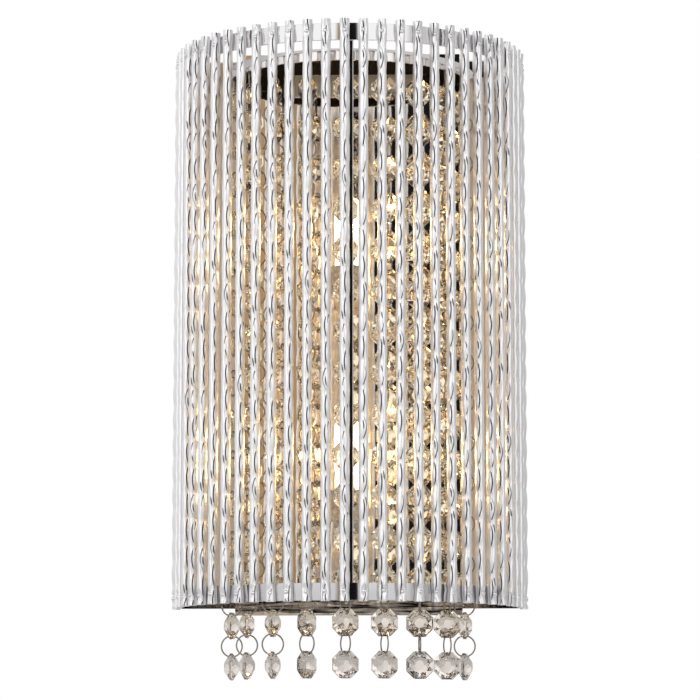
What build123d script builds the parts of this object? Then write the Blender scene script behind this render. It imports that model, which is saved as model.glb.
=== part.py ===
from build123d import *
import os
from math import cos, pi, radians, sin, sqrt

# Crystal wall sconce: a half-round shade of crimped aluminium rods on two bands, strands of cut
# octagons hanging inside it, and two capsule bulbs in front of a mirror plate.
# Millimetres. X is to the right, +Y goes into the wall, +Z is up.
# The origin is on the wall plane, half way between the two wall screws.

# ---------------------------------------------------------------- driving dimensions
# Rods
ROD_COUNT = 31
ROD_LENGTH = 300.0
ROD_WAIST = 3.7  # across two of its flats
CRIMP_PITCH = 14.0
ROD_END_FLAT = 11.0  # straight end that lies on a band
SHADE_RADIUS = 92.5  # shade's axis to the rods' centres
SHADE_AXIS_GAP = 4.0  # wall to the shade's axis, so that the end rods clear the wall

# Bands
BAND_HEIGHT = 9.0
BAND_WALL = 1.0
BAND_TOP_INSET = 1.7  # rods stand above the top band by this
BAND_BOTTOM_INSET = 0.5  # and below the bottom band by this
ROD_SEAT_GAP = 0.05
TAB_LENGTH = 12.0  # flange of a band along the wall box's side
TAB_SEAT_GAP = 0.05
STRUT_WIDTH = 6.0
STRUT_WALL = 1.0
STRUT_OFFSET = 1.5  # strut's centre to the right of the front rod's
STRUT_SEAT_GAP = 0.05

# Rivets that hold the rods to the bands
RIVET_WIDTH = 2.0
RIVET_HEIGHT = 0.8

# Wall box, mirror plate and wall bracket
BOX_WIDTH = 100.0
BOX_DEPTH = 22.0
BOX_WALL = 1.2
BOX_TOP_INSET = 2.0  # rods stand above the wall box by this
BOX_DROP = 2.0  # wall box below the rods
PLATE_WIDTH = 120.0
PLATE_WALL = 2.0
PLATE_DROP = 2.0  # mirror plate below the wall box
BRACKET_HEIGHT = 116.0
BRACKET_STRAP = 30.0
BRACKET_ARM = 24.0
BRACKET_WALL = 2.0
BRACKET_FLANGE = 12.0
BRACKET_SIDE_GAP = 0.2
WALL_SCREW_SPACING = 88.9
WALL_SCREW_HOLE = 5.0
CABLE_HOLE = 16.0

# Screws through the wall box's sides
SCREW_SHANK = 3.0
SCREW_HOLE = 3.2
SCREW_HEAD = 6.0
SCREW_HEAD_HEIGHT = 2.4
SCREW_REACH = 6.0
SCREW_SEAT_GAP = 0.05
SCREW_TAB_INSET = 4.8  # screw's centre to the front end of a band's flange

# Terminal block
BLOCK_WIDTH = 30.0
BLOCK_DEPTH = 11.0
BLOCK_HEIGHT = 14.0
BLOCK_CENTRE = 66.0  # below the origin
BLOCK_WAYS = 3
BLOCK_SCREW_WELL = 4.0

# Hanger that carries the strands
HANGER_DROP = 1.6  # hanger's top below the top band
HANGER_WALL = 1.2
HANGER_LIP = 5.0
HANGER_MARGIN = 3.5  # strand holes to the hanger's rim
HANGER_FLANGE = 12.0
HANGER_FLANGE_WIDTH = 70.0
HOOK_HOLE = 1.8

# Strands of crystals
STRAND_COUNT = 9
STRAND_STEP = 18.0  # degrees between strands
STRAND_RADIUS = 64.0
STRAND_AXIS_GAP = 15.0  # wall to the strands' axis
CRYSTALS_PER_STRAND = 15
RINGED_CRYSTALS = 3  # lowest ones, drilled and joined by rings
CRYSTAL_WIDTH = 14.0  # across flats
CRYSTAL_THICKNESS = 7.5
CRYSTAL_EDGE = 1.2
CRYSTAL_HOLE = 1.5
CRYSTAL_HOLE_INSET = 2.1  # hole's centre to the nearest flat
WIRE = 0.8
RING_WIDTH = 11.7
RING_SLACK = 0.05  # wire to the hole's wall that it hangs on
HOOK_REACH = 12.5  # hanger's underside to the first crystal
HOOK_HEAD = 3.0
HOOK_HEAD_HEIGHT = 0.8
HOOK_SEAT_GAP = 0.2
STRAND_TURN = (88, 88, 88, 50, 30, 20, 0, 15, 85)  # each strand's crystals from face-on, degrees

# Bulbs and lampholders
BULB_AXIS = 46.0  # wall to the bulbs' axis
BULB_SEATS = (28.0, -90.0)  # heights of the lampholders' mouths
BULB_WIDTH = 14.0
BULB_LENGTH = 38.0
BULB_END_HEIGHT = 5.0
BULB_END_WIDTH = 6.0
BULB_SIDES = 20
BULB_BASE_WIDTH = 12.0
BULB_BASE_DEPTH = 6.0
BULB_BASE_HEIGHT = 11.0
PIN_SPACING = 9.0
PIN_WIDTH = 2.4
PIN_LENGTH = 8.0
PIN_GAP = 0.3
HOLDER_WIDTH = 18.0
HOLDER_HEIGHT = 16.0
HOLDER_WELL = 10.0
HOLDER_SEAT_GAP = 0.3
FOOT_WIDTH = 14.0
FOOT_WALL = 1.5
FOOT_RISE = 20.0

# ---------------------------------------------------------------- worked out from them
ROD_BOTTOM = -ROD_LENGTH / 2
ROD_TOP = ROD_LENGTH / 2
BAND_OUTER = SHADE_RADIUS - ROD_WAIST / 2 - ROD_SEAT_GAP
BAND_INNER = BAND_OUTER - BAND_WALL
TOP_BAND_Z = ROD_TOP - BAND_TOP_INSET - BAND_HEIGHT
BOTTOM_BAND_Z = ROD_BOTTOM + BAND_BOTTOM_INSET
BAND_LEVELS = (TOP_BAND_Z + BAND_HEIGHT / 2, BOTTOM_BAND_Z + BAND_HEIGHT / 2)
BOX_TOP = ROD_TOP - BOX_TOP_INSET
BOX_BOTTOM = ROD_BOTTOM - BOX_DROP
BOX_HEIGHT = BOX_TOP - BOX_BOTTOM
HANGER_TOP = TOP_BAND_Z - HANGER_DROP
PLATE_FRONT = BOX_DEPTH + PLATE_WALL
SCREW_Y = SCREW_TAB_INSET - TAB_LENGTH - SHADE_AXIS_GAP
HANGER_UNDER = HANGER_TOP - HANGER_WALL
RING_MEAN = RING_WIDTH - WIRE
WIRE_DROP = CRYSTAL_HOLE / 2 - WIRE / 2 - RING_SLACK
HOLE_SPACING = CRYSTAL_WIDTH - 2 * CRYSTAL_HOLE_INSET
CRYSTAL_PITCH = HOLE_SPACING + 2 * WIRE_DROP + RING_MEAN
FIRST_CRYSTAL_Z = HANGER_UNDER - HOOK_REACH - CRYSTAL_WIDTH / 2
PLAIN_CRYSTALS = CRYSTALS_PER_STRAND - RINGED_CRYSTALS

parts = {}


# ---------------------------------------------------------------- shared forms
def flat_faced(rings, crossed=()):
    """A solid of flat faces through rings of points with equal counts; a ring of one is a point.
    Between a crossed ring and the one below it, triangles take up a turn of half a side."""
    faces = []
    for step, (low, high) in enumerate(zip(rings, rings[1:]), 1):
        count = max(len(low), len(high))
        for side in range(count):
            after = (side + 1) % count
            corners = [high[side % len(high)], low[side % len(low)]]
            corners += [low[after % len(low)], high[after % len(high)]]
            if step in crossed:
                outlines = [corners[:3], [corners[0], *corners[2:]]]
            else:
                outlines = [list(dict.fromkeys(corners))]
            faces += [Face(Wire.make_polygon(outline)) for outline in outlines]
    for ring in (rings[0], rings[-1]):
        if len(ring) > 1:
            faces.append(Face(Wire.make_polygon(ring)))
    return Solid(Shell(faces))


def on_arc(radius, axis_gap, angle):
    """A frame on an arc about a vertical axis: local X is tangential, local Y points inwards."""
    position = (radius * sin(radians(angle)), -axis_gap - radius * cos(radians(angle)), 0)
    return Location(position, (0, 0, angle))


def rod_angle(index):
    return -90 + index * 180 / (ROD_COUNT - 1)


def square_ring(z, turns):
    """Corners of a rod's square section, turned by a number of half sides."""
    corner = ROD_WAIST / sqrt(2)
    angles = [radians(45 * (1 + turns + 2 * side)) for side in range(4)]
    return [(corner * cos(angle), corner * sin(angle), z) for angle in angles]


def crimped_rod(index):
    """A rod whose section turns by half a side at each crimp, with flat ends for the bands."""
    crimped_length = ROD_LENGTH - 2 * ROD_END_FLAT
    steps = 2 * round(crimped_length / (2 * CRIMP_PITCH))
    rings = [square_ring(ROD_BOTTOM, 0)]
    for step in range(steps + 1):
        z = ROD_BOTTOM + ROD_END_FLAT + step * crimped_length / steps
        rings.append(square_ring(z, step))
    rings.append(square_ring(ROD_TOP, steps))
    rod = flat_faced(rings, crossed=range(2, steps + 2))
    return on_arc(SHADE_RADIUS, SHADE_AXIS_GAP, rod_angle(index)) * rod


def rod_groups():
    """Rods in each node: one, but at each end the two that stand nearest the wall."""
    groups = [[index] for index in range(1, ROD_COUNT - 1)]
    groups[0].insert(0, 0)
    groups[-1].append(ROD_COUNT - 1)
    return groups


def band_outline(radius):
    """A circle with a small flat under each rod."""
    flats = 2 * (ROD_COUNT - 1)
    return RegularPolygon(radius, flats, major_radius=False, rotation=180 / flats)


def band(z):
    """A half-round strip whose ends turn in along the wall, then forward beside the wall box."""
    arc = band_outline(BAND_OUTER) - band_outline(BAND_INNER)
    front_half = Pos(0, -BAND_OUTER / 2) * Rectangle(2 * BAND_OUTER, BAND_OUTER)
    profile = Pos(0, -SHADE_AXIS_GAP) * (arc & front_half)
    tab_x = BOX_WIDTH / 2 + TAB_SEAT_GAP
    for side in (-1, 1):
        strap_length = BAND_OUTER - tab_x
        strap = Rectangle(strap_length, BAND_WALL)
        profile += Pos(side * (tab_x + strap_length / 2), -SHADE_AXIS_GAP) * strap
        tab = Rectangle(BAND_WALL, TAB_LENGTH)
        profile += Pos(side * (tab_x + BAND_WALL / 2), -SHADE_AXIS_GAP - TAB_LENGTH / 2) * tab
    strip = extrude(Pos(0, 0, z) * profile, BAND_HEIGHT)
    return strip - screw_holes(z + BAND_HEIGHT / 2)


def centre_strut():
    """A flat strip inside both bands at the front, which keeps them apart."""
    height = ROD_TOP - BAND_TOP_INSET - BOTTOM_BAND_Z
    corner_x = STRUT_OFFSET + STRUT_WIDTH / 2
    corner_y = -SHADE_AXIS_GAP - sqrt(BAND_INNER ** 2 - corner_x ** 2) + STRUT_SEAT_GAP
    z = BOTTOM_BAND_Z + height / 2
    return Pos(STRUT_OFFSET, corner_y + STRUT_WALL / 2, z) * Box(STRUT_WIDTH, STRUT_WALL, height)


def rod_rivets():
    """One rivet head on every rod at each band."""
    heads = []
    for index in range(ROD_COUNT):
        seat = SHADE_RADIUS + ROD_WAIST / 2
        for level in BAND_LEVELS:
            head = Pos(0, -RIVET_HEIGHT / 2, level) * Box(RIVET_WIDTH, RIVET_HEIGHT, RIVET_WIDTH)
            heads.append(on_arc(seat, SHADE_AXIS_GAP, rod_angle(index)) * head)
    return heads


# ---------------------------------------------------------------- wall box and what it holds
def screw_holes(z):
    """Clearance through both sides of the wall box at one height."""
    reach = BOX_WIDTH + 4 * TAB_LENGTH
    return Pos(0, SCREW_Y, z) * Rot(0, 90, 0) * Cylinder(SCREW_HOLE / 2, reach)


def wall_box():
    """A tray open to the wall, with screw holes in its two sides."""
    middle = (BOX_TOP + BOX_BOTTOM) / 2
    tray = Pos(0, -BOX_DEPTH / 2, middle) * Box(BOX_WIDTH, BOX_DEPTH, BOX_HEIGHT)
    inside = Box(BOX_WIDTH - 2 * BOX_WALL, BOX_DEPTH, BOX_HEIGHT - 2 * BOX_WALL)
    tray -= Pos(0, -BOX_DEPTH / 2 + BOX_WALL, middle) * inside
    for z in (*BAND_LEVELS, 0):
        tray -= screw_holes(z)
    return tray


def mirror_plate():
    height = BOX_HEIGHT + PLATE_DROP
    z = BOX_TOP - height / 2
    return Pos(0, -BOX_DEPTH - PLATE_WALL / 2, z) * Box(PLATE_WIDTH, PLATE_WALL, height)


def wall_bracket():
    """A cross-shaped strap for the wall, with a tapped flange at each end of its arm."""
    span = BOX_WIDTH - 2 * BOX_WALL - 2 * BRACKET_SIDE_GAP
    outline = Rectangle(BRACKET_STRAP, BRACKET_HEIGHT) + Rectangle(span, BRACKET_ARM)
    outline -= Circle(CABLE_HOLE / 2)
    for side in (-1, 1):
        outline -= Pos(0, side * WALL_SCREW_SPACING / 2) * Circle(WALL_SCREW_HOLE / 2)
    bracket = extrude(Plane.XZ * outline, BRACKET_WALL)
    for side in (-1, 1):
        x = side * (span / 2 - BRACKET_WALL / 2)
        y = -BRACKET_WALL - BRACKET_FLANGE / 2
        bracket += Pos(x, y, 0) * Box(BRACKET_WALL, BRACKET_FLANGE, BRACKET_ARM)
    return bracket - screw_holes(0)


def fixing_screws():
    """Four screws hold the bands to the wall box, and two hold the box to its bracket."""
    screws = []
    for z in (*BAND_LEVELS, 0):
        seat = BOX_WIDTH / 2 + SCREW_SEAT_GAP
        if z:
            seat += TAB_SEAT_GAP + BAND_WALL
        for side in (-1, 1):
            head = extrude(RegularPolygon(SCREW_HEAD / 2, 6, major_radius=False), SCREW_HEAD_HEIGHT)
            shank = extrude(RegularPolygon(SCREW_SHANK / 2, 8), -SCREW_REACH)
            screw = Rot(0, side * 90, 0) * (head + shank)
            screws.append(Pos(side * seat, SCREW_Y, z) * screw)
    return screws


def terminal_block():
    """A moulded block with a screw well for each wire, on the wall box's front wall."""
    y = -BOX_DEPTH + BOX_WALL + BLOCK_DEPTH / 2
    block = Pos(0, y, -BLOCK_CENTRE) * Box(BLOCK_WIDTH, BLOCK_DEPTH, BLOCK_HEIGHT)
    step = BLOCK_WIDTH / BLOCK_WAYS
    for way in range(BLOCK_WAYS):
        x = (way - (BLOCK_WAYS - 1) / 2) * step
        well = Box(BLOCK_SCREW_WELL, BLOCK_DEPTH, BLOCK_SCREW_WELL)
        block -= Pos(x, y + BLOCK_DEPTH / 2, -BLOCK_CENTRE) * well
    return block


# ---------------------------------------------------------------- hanger and strands
def strand_angle(index):
    return (index - (STRAND_COUNT - 1) / 2) * STRAND_STEP


def strand_hanger():
    """A half-round shelf with a turned-down lip, a hole for each strand and a flange behind."""
    rim = STRAND_RADIUS + HANGER_MARGIN
    front_depth = STRAND_AXIS_GAP + rim - PLATE_FRONT
    front = Pos(0, -PLATE_FRONT - front_depth / 2) * Rectangle(2 * rim, front_depth)
    disc = Pos(0, -STRAND_AXIS_GAP) * Circle(rim)
    inner_disc = Pos(0, -STRAND_AXIS_GAP) * Circle(rim - HANGER_WALL)
    hanger = extrude(Pos(0, 0, HANGER_UNDER) * (disc & front), HANGER_WALL)
    hanger += extrude(Pos(0, 0, HANGER_UNDER - HANGER_LIP) * ((disc - inner_disc) & front), HANGER_LIP)
    flange = Box(HANGER_FLANGE_WIDTH, HANGER_WALL, HANGER_FLANGE)
    hanger += Pos(0, -PLATE_FRONT - HANGER_WALL / 2, HANGER_UNDER - HANGER_FLANGE / 2) * flange
    hole = extrude(RegularPolygon(HOOK_HOLE / 2, 6, major_radius=False), 2 * HANGER_WALL)
    for index in range(STRAND_COUNT):
        place = on_arc(STRAND_RADIUS, STRAND_AXIS_GAP, strand_angle(index))
        hanger -= place * Pos(0, 0, HANGER_UNDER - HANGER_WALL / 2) * hole
    return hanger


def octagon(y):
    """Corners of a crystal's outline, flat at the top and bottom, facing along Y."""
    corner = CRYSTAL_WIDTH / 2 / cos(radians(22.5))
    turns = [radians(22.5 + 45 * side) for side in range(8)]
    return [(corner * cos(turn), y, corner * sin(turn)) for turn in turns]


def crystal(top_hole, bottom_hole):
    """A cut octagon: eight facets rise to a point on each side; holes near its top and bottom."""
    point = CRYSTAL_THICKNESS / 2
    front = [(0, -point, 0)]
    back = [(0, point, 0)]
    if not (top_hole or bottom_hole):
        return flat_faced([front, octagon(0), back])
    edge = CRYSTAL_EDGE / 2
    cut = Part() + flat_faced([front, octagon(-edge), octagon(edge), back])
    drill = RegularPolygon(CRYSTAL_HOLE / 2, 6, major_radius=False)
    for wanted, side in ((top_hole, 1), (bottom_hole, -1)):
        if wanted:
            z = side * HOLE_SPACING / 2
            cut -= Pos(0, point, z) * extrude(Plane.XZ * drill, CRYSTAL_THICKNESS)
    return cut


def wire_ring():
    """A ring of wire in the YZ plane, eight sides round."""
    outer = RegularPolygon(RING_WIDTH / 2, 8, major_radius=False, rotation=22.5)
    inner = RegularPolygon(RING_WIDTH / 2 - WIRE, 8, major_radius=False, rotation=22.5)
    return Pos(-WIRE / 2, 0, 0) * extrude(Plane.YZ * (outer - inner), WIRE)


def strand_place(index, z):
    place = on_arc(STRAND_RADIUS, STRAND_AXIS_GAP, strand_angle(index))
    return Pos(place.position.X, place.position.Y, z) * Rot(0, 0, STRAND_TURN[index])


def strand_crystals(index):
    pieces = []
    for step in range(CRYSTALS_PER_STRAND):
        top_hole = step > PLAIN_CRYSTALS
        bottom_hole = PLAIN_CRYSTALS <= step < CRYSTALS_PER_STRAND - 1
        z = FIRST_CRYSTAL_Z - step * CRYSTAL_PITCH
        pieces.append(strand_place(index, z) * crystal(top_hole, bottom_hole))
    return pieces


def strand_links(index):
    """The hook in the hanger, the wires between the inner crystals, and the rings below."""
    first_top = FIRST_CRYSTAL_Z + CRYSTAL_WIDTH / 2
    head_z = HANGER_TOP + HOOK_SEAT_GAP
    stem_height = head_z - first_top
    stem = Pos(0, 0, stem_height / 2) * Box(WIRE, WIRE, stem_height)
    head = Pos(0, 0, stem_height + HOOK_HEAD_HEIGHT / 2) * Box(HOOK_HEAD, HOOK_HEAD, HOOK_HEAD_HEIGHT)
    links = [strand_place(index, first_top) * (stem + head)]
    gap = CRYSTAL_PITCH - CRYSTAL_WIDTH
    for step in range(CRYSTALS_PER_STRAND - 1):
        z = FIRST_CRYSTAL_Z - (step + 0.5) * CRYSTAL_PITCH
        link = wire_ring() if step >= PLAIN_CRYSTALS else Box(WIRE, WIRE, gap)
        links.append(strand_place(index, z) * link)
    return links


# ---------------------------------------------------------------- bulbs and lampholders
def bulb(seat):
    """A capsule bulb: tube of glass with a drawn-in end, a pinched base and two pins."""
    bottom = seat + HOLDER_SEAT_GAP
    base = Pos(0, 0, BULB_BASE_HEIGHT / 2) * Box(BULB_BASE_WIDTH, BULB_BASE_DEPTH, BULB_BASE_HEIGHT)
    rings = []
    for width, z in (
        (BULB_WIDTH, BULB_BASE_HEIGHT),
        (BULB_WIDTH, BULB_LENGTH - BULB_END_HEIGHT),
        (BULB_END_WIDTH, BULB_LENGTH),
    ):
        turns = [2 * pi * side / BULB_SIDES for side in range(BULB_SIDES)]
        rings.append([(width / 2 * cos(turn), width / 2 * sin(turn), z) for turn in turns])
    body = base + flat_faced(rings)
    for side in (-1, 1):
        pin = Box(PIN_WIDTH, PIN_WIDTH, PIN_LENGTH)
        body += Pos(side * PIN_SPACING / 2, 0, -PIN_LENGTH / 2) * pin
    return Pos(0, -BULB_AXIS, bottom) * body


def lampholder(seat):
    """A ceramic holder with a well for the two pins, on an angled foot from the mirror plate."""
    holder = Pos(0, 0, -HOLDER_HEIGHT / 2) * Cylinder(HOLDER_WIDTH / 2, HOLDER_HEIGHT)
    well_size = PIN_WIDTH + 2 * PIN_GAP
    for side in (-1, 1):
        well = Box(well_size, well_size, 2 * HOLDER_WELL)
        holder -= Pos(side * PIN_SPACING / 2, 0, 0) * well
    reach = BULB_AXIS + HOLDER_WIDTH / 2 - PLATE_FRONT
    shelf_y = BULB_AXIS - PLATE_FRONT - reach / 2
    shelf = Pos(0, shelf_y, -HOLDER_HEIGHT - FOOT_WALL / 2) * Box(FOOT_WIDTH, reach, FOOT_WALL)
    back_y = BULB_AXIS - PLATE_FRONT - FOOT_WALL / 2
    back_z = -HOLDER_HEIGHT - FOOT_WALL + FOOT_RISE / 2
    foot = shelf + Pos(0, back_y, back_z) * Box(FOOT_WIDTH, FOOT_WALL, FOOT_RISE)
    place = Pos(0, -BULB_AXIS, seat)
    return [place * holder, place * foot]


# ---------------------------------------------------------------- the whole sconce
def build_parts():
    for number, group in enumerate(rod_groups(), 1):
        parts[f"rod_{number:02d}"] = [crimped_rod(index) for index in group]
    parts["top_band"] = [band(TOP_BAND_Z)]
    parts["bottom_band"] = [band(BOTTOM_BAND_Z)]
    parts["centre_strut"] = [centre_strut()]
    parts["rod_rivets"] = rod_rivets()
    parts["wall_box"] = [wall_box()]
    parts["mirror_plate"] = [mirror_plate()]
    parts["wall_bracket"] = [wall_bracket()]
    parts["fixing_screws"] = fixing_screws()
    parts["terminal_block"] = [terminal_block()]
    parts["strand_hanger"] = [strand_hanger()]
    for index in range(STRAND_COUNT):
        parts[f"crystals_{index + 1}"] = strand_crystals(index)
        parts[f"strand_links_{index + 1}"] = strand_links(index)
    parts["lampholders"] = [piece for seat in BULB_SEATS for piece in lampholder(seat)]
    for name, seat in zip(("bulb_upper", "bulb_lower"), BULB_SEATS):
        parts[name] = [bulb(seat)]


def write_parts():
    os.makedirs("parts", exist_ok=True)
    for name, pieces in parts.items():
        solids = [solid for piece in pieces for solid in piece.solids()]
        shape = solids[0] if len(solids) == 1 else Compound(children=solids)
        export_step(shape, f"parts/{name}.step")


build_parts()
write_parts()
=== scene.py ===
"""Crystal wall sconce: its looks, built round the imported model. Metres, +Y into the wall, +Z up."""

from math import cos, pi, radians, sin
from random import Random

import bmesh
import bpy
from mathutils import Matrix, Vector


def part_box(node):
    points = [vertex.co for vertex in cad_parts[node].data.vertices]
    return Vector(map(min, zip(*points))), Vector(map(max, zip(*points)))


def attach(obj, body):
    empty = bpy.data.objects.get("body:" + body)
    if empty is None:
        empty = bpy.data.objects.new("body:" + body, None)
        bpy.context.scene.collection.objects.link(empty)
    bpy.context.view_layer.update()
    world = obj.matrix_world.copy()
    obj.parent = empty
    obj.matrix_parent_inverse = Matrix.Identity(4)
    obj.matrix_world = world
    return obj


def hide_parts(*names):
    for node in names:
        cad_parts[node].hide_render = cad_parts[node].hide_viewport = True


MM = 0.001
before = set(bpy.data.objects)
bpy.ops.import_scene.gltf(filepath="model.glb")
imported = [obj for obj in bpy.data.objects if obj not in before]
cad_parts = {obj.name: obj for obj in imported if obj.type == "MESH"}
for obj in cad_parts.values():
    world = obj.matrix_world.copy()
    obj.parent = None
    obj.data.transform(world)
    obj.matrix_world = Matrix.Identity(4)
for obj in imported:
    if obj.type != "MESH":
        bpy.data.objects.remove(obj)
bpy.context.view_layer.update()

# ---------------------------------------------------------------- sizes, as the real pieces measure
ROD_COUNT = 31
ROD_RADIUS = 2.6 * MM
ROD_SIDES = 24
ROD_WAIST = 3.7 * MM  # across the flats on the bands and under the rivets
SHADE_RADIUS = 92.5 * MM
SHADE_AXIS_Y = -4 * MM
BAND_HALF = 5 * MM  # half the height that a rod is flattened over, on the shade's inside
RIVET_FLAT = 2.6 * MM  # and on its outside
RIVET_RADIUS = 1.15 * MM
RIVET_RISE = 0.75 * MM
RIVET_RIM = 0.15 * MM
RIVET_SUNK = 0.1 * MM
RIVET_DRIFT = (0.6 * MM, 0.5 * MM)  # across the rod and along it

PINCH_PITCH = 13.7 * MM
PINCH_STEPS = 12  # rings of the mesh in one pitch
PINCH_STEP = PINCH_PITCH / PINCH_STEPS
PINCH_DEPTH = 0.8 * MM
FOLD_RIM = 0.04 * MM  # width of a fold's edge
FOLD_DEPTH = 0.07 * MM
FOLD_TAPER = (0.35, 0.9)  # how much of its width a fold keeps at its ends and one ring in
FOLD_FADE = (0.95, 0.25)  # and, where it fades out along its length, at its start and its end
FOLDS = (  # kinds of pitch, bold and faint in turn: the bow in degrees, then for each fold its
    # first and last ring, its columns round from the front, and whether it fades
    (32, ((1, 11, 0, False),)),
    (50, ((1, 9, 0, True),)),
    (30, ((1, 10, 0, False), (7, 11, 2, False))),
    (44, ((1, 6, 0, True),)),
    (34, ((2, 11, 0, False), (1, 5, -2, True))),
    (54, ((1, 11, 0, True), (5, 9, -2, False))),
    (26, ((1, 11, 0, False),)),
    (40, ((1, 5, 1, True), (7, 10, 0, False))),
)
BOLD_SHARE = 0.3  # of the faint pitches that are bold all the same
LONG_TUBES = 5  # different tubes that the rods are cut from
ROD_LEAN = (-46, -26)  # degrees to the right of the front that a right-hand rod's folds look
SIDE_ROD_ANGLE = 68  # past it a rod's folds turn with the rod, and look sideways
SIDE_ROD_LEAN = 60
CRUMPLE = 0.1 * MM  # depth of the tube's small dents
CRUMPLE_SIZE = 4 * MM
CUT_REACH = 0.2 * MM  # how far from a cut the faces that close it may lie
TUBE_WALL = 0.55 * MM
TUBE_SUNK = 3 * MM  # depth to which a cut tube shows as open

STRAND_COUNT = 9
STRAND_STEP = 18
STRAND_RADIUS = 64 * MM
STRAND_AXIS_Y = -15 * MM
STRAND_TURN = (88, 88, 88, 50, 30, 20, 0, 15, 85)
CRYSTALS_PER_STRAND = 15
CRYSTAL_WIDTH = 14 * MM
CRYSTAL_THICKNESS = 7.5 * MM
CRYSTAL_EDGE = 1.2 * MM
CRYSTAL_TABLE = 5.4 * MM  # across the corners of the small flat in the middle
CRYSTAL_HOLE = 1.5 * MM
CRYSTAL_WOBBLE = 9  # degrees either way, by chance
HALF_SIDE = 22.5  # degrees that half an octagon's side takes up
HOLE_SPACING = 9.8 * MM
CRYSTAL_PITCH = 21.3 * MM
FIRST_CRYSTAL_Z = 117 * MM
WIRE = 0.8 * MM
RING_WIDTH = 11.7 * MM
RING_WOBBLE = 6
HANGER_TOP = 137.7 * MM
HOOK_EYE = 2.2 * MM
HOOK_EYE_RISE = 1.8 * MM
HOOK_STEM_RISE = 3 * MM
HOOK_HEAD = 3.2  # times the wire's width
HOOK_HEAD_HEIGHT = 0.8 * MM
HOOK_SEAT_GAP = 0.2 * MM

BULB_Y = -46 * MM
BULB_BASES = {"bulb_upper": 28.3 * MM, "bulb_lower": -89.7 * MM}
BULB_RADIUS = 7 * MM
BULB_LENGTH = 38 * MM
BULB_SHOULDER = 5 * MM  # length over which the tube draws in to its nipple
BULB_NIPPLE = (  # each step's rise in mm, and the share of its width that the tube keeps
    (1.8, 0.93), (1.4, 0.80), (0.9, 0.62), (0.5, 0.5), (0.4, 0.45)
)
BULB_NECK = 1.5 * MM  # height over which its lower end is pinched
BASE_HEIGHT = 11 * MM
PIN_RADIUS = 1.15 * MM
PIN_LENGTH = 7.8 * MM
PIN_SPACING = 9 * MM
COIL_WIRE = 0.45 * MM
COIL_RADIUS = 2.2 * MM
COIL_TURNS = 12
COIL_LENGTH = 15 * MM
COIL_RISE = 3 * MM
LAMP_RISE = 22 * MM

PLATE_HIGHLIGHT = 1.5 * MM  # height of the painted highlight, a pale rim, along the mirror plate's lower edge

FLOOR_Z = -0.46
WALL_HALF_WIDTH = 91 * MM
WALL_GAP = 0.6 * MM  # behind the wall plane
WALL_RISE = 3.5 * MM  # keeps the strips' lower ends out of sight above the front rods' ends
WALL_MARGIN = 4 * MM  # from the wall box to the strips
CAMERA_PLACE = (0.0476, -1.6053, -0.224)
CAMERA_TILT = 7.6  # degrees upwards
CAMERA_TURN = 1.7  # degrees to the left
CAMERA_LENS = 154.03

rng = Random(29)


# ---------------------------------------------------------------- finishes
class Value:
    """A number on its way through a finish: Python's own maths on it adds the Math nodes."""

    def __init__(self, finish, socket):
        self.finish = finish
        self.socket = socket

    def maths(self, operation, first, second=0.0):
        return self.finish.node("ShaderNodeMath", {"operation": operation}, {0: first, 1: second})

    def __add__(self, other):
        return self.maths("ADD", self, other)

    def __sub__(self, other):
        return self.maths("SUBTRACT", self, other)

    def __rsub__(self, other):
        return self.maths("SUBTRACT", other, self)

    def __mul__(self, other):
        return self.maths("MULTIPLY", self, other)

    def __truediv__(self, other):
        return self.maths("DIVIDE", self, other)

    def __abs__(self):
        return self.maths("ABSOLUTE", self)

    def at_most(self, other):
        return self.maths("MINIMUM", self, other)

    def held(self, low=0.0, high=1.0):
        return self.finish.node("ShaderNodeClamp", {}, {"Value": self, "Min": low, "Max": high})


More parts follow.
